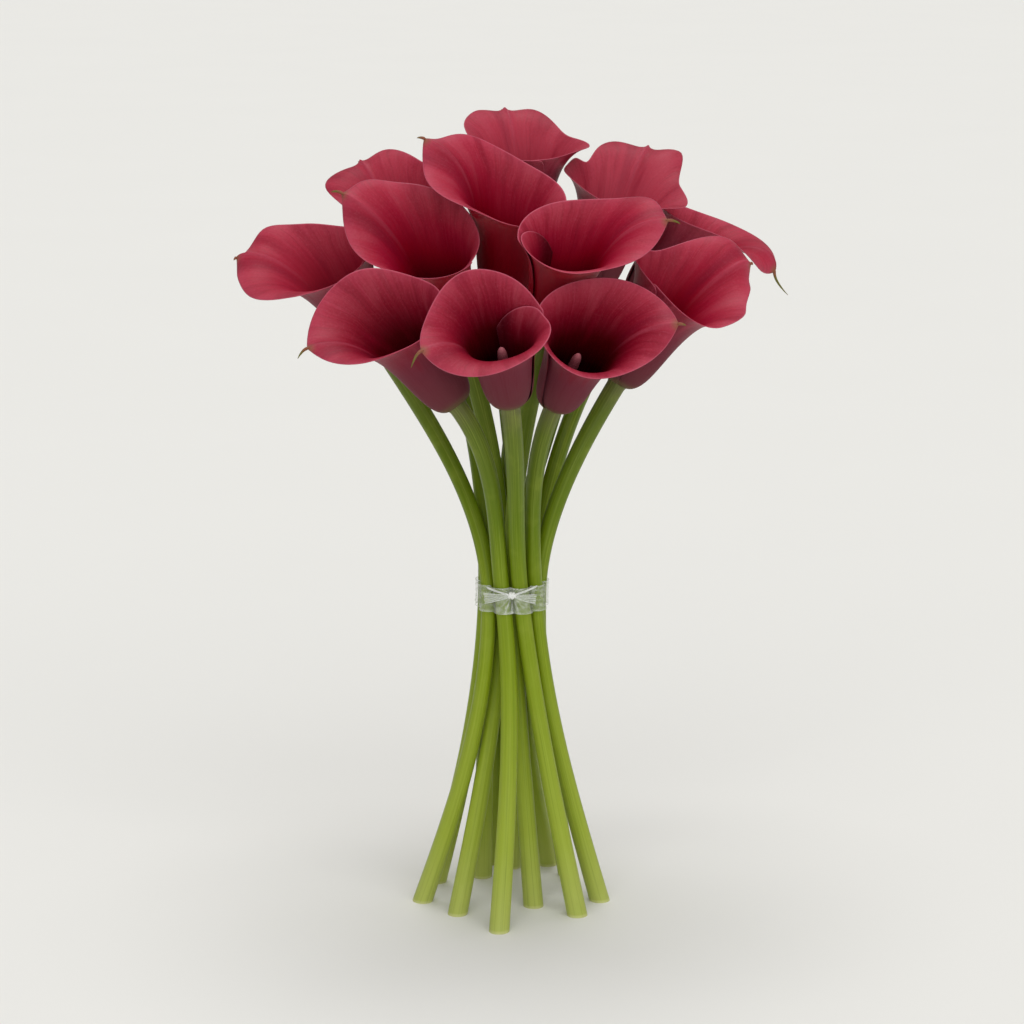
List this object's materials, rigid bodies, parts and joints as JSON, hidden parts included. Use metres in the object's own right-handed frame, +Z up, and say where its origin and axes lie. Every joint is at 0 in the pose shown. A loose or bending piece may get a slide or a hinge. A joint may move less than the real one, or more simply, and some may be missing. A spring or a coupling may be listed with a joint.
{
  "type": "calla lily bunch",
  "caption": "Hand-tied bunch of dark red calla lilies with flared funnel blooms, standing on its splayed cut stems and held by a clear film tie.",
  "frame": {"origin": "centre of the bounding box at the floor on which the cut stems stand", "axes": "+Z up along the stems, -Y toward the viewer that the front blooms face, +X to the viewer's right"},
  "size_m": [0.3108, 0.2496, 0.4304],
  "materials": {
    "spathe_crimson": "velvety crimson petal, darker in the throat, with a thin paler rim",
    "spadix_rose": "fine-grained dull rose",
    "stem_green": "smooth waxy green, paler toward the cut foot",
    "film_clear": "clear glossy film"
  },
  "bodies": {
    "root": {"spadix_back_centre": "spadix_rose", "spadix_back_left": "spadix_rose", "spadix_back_right": "spadix_rose", "spadix_centre_high": "spadix_rose", "spadix_far_left": "spadix_rose", "spadix_far_right": "spadix_rose", "spadix_front_centre": "spadix_rose", "spadix_front_left": "spadix_rose", "spadix_front_right": "spadix_rose", "spadix_mid_left": "spadix_rose", "spadix_mid_right": "spadix_rose", "spadix_right_low": "spadix_rose", "spathe_back_centre": "spathe_crimson", "spathe_back_left": "spathe_crimson", "spathe_back_right": "spathe_crimson", "spathe_centre_high": "spathe_crimson", "spathe_far_left": "spathe_crimson", "spathe_far_right": "spathe_crimson", "spathe_front_centre": "spathe_crimson", "spathe_front_left": "spathe_crimson", "spathe_front_right": "spathe_crimson", "spathe_mid_left": "spathe_crimson", "spathe_mid_right": "spathe_crimson", "spathe_right_low": "spathe_crimson", "stem_back_centre": "stem_green", "stem_back_left": "stem_green", "stem_back_right": "stem_green", "stem_centre_high": "stem_green", "stem_far_left": "stem_green", "stem_far_right": "stem_green", "stem_front_centre": "stem_green", "stem_front_left": "stem_green", "stem_front_right": "stem_green", "stem_mid_left": "stem_green", "stem_mid_right": "stem_green", "stem_right_low": "stem_green", "tie_film": "film_clear"}
  },
  "joints": []
}
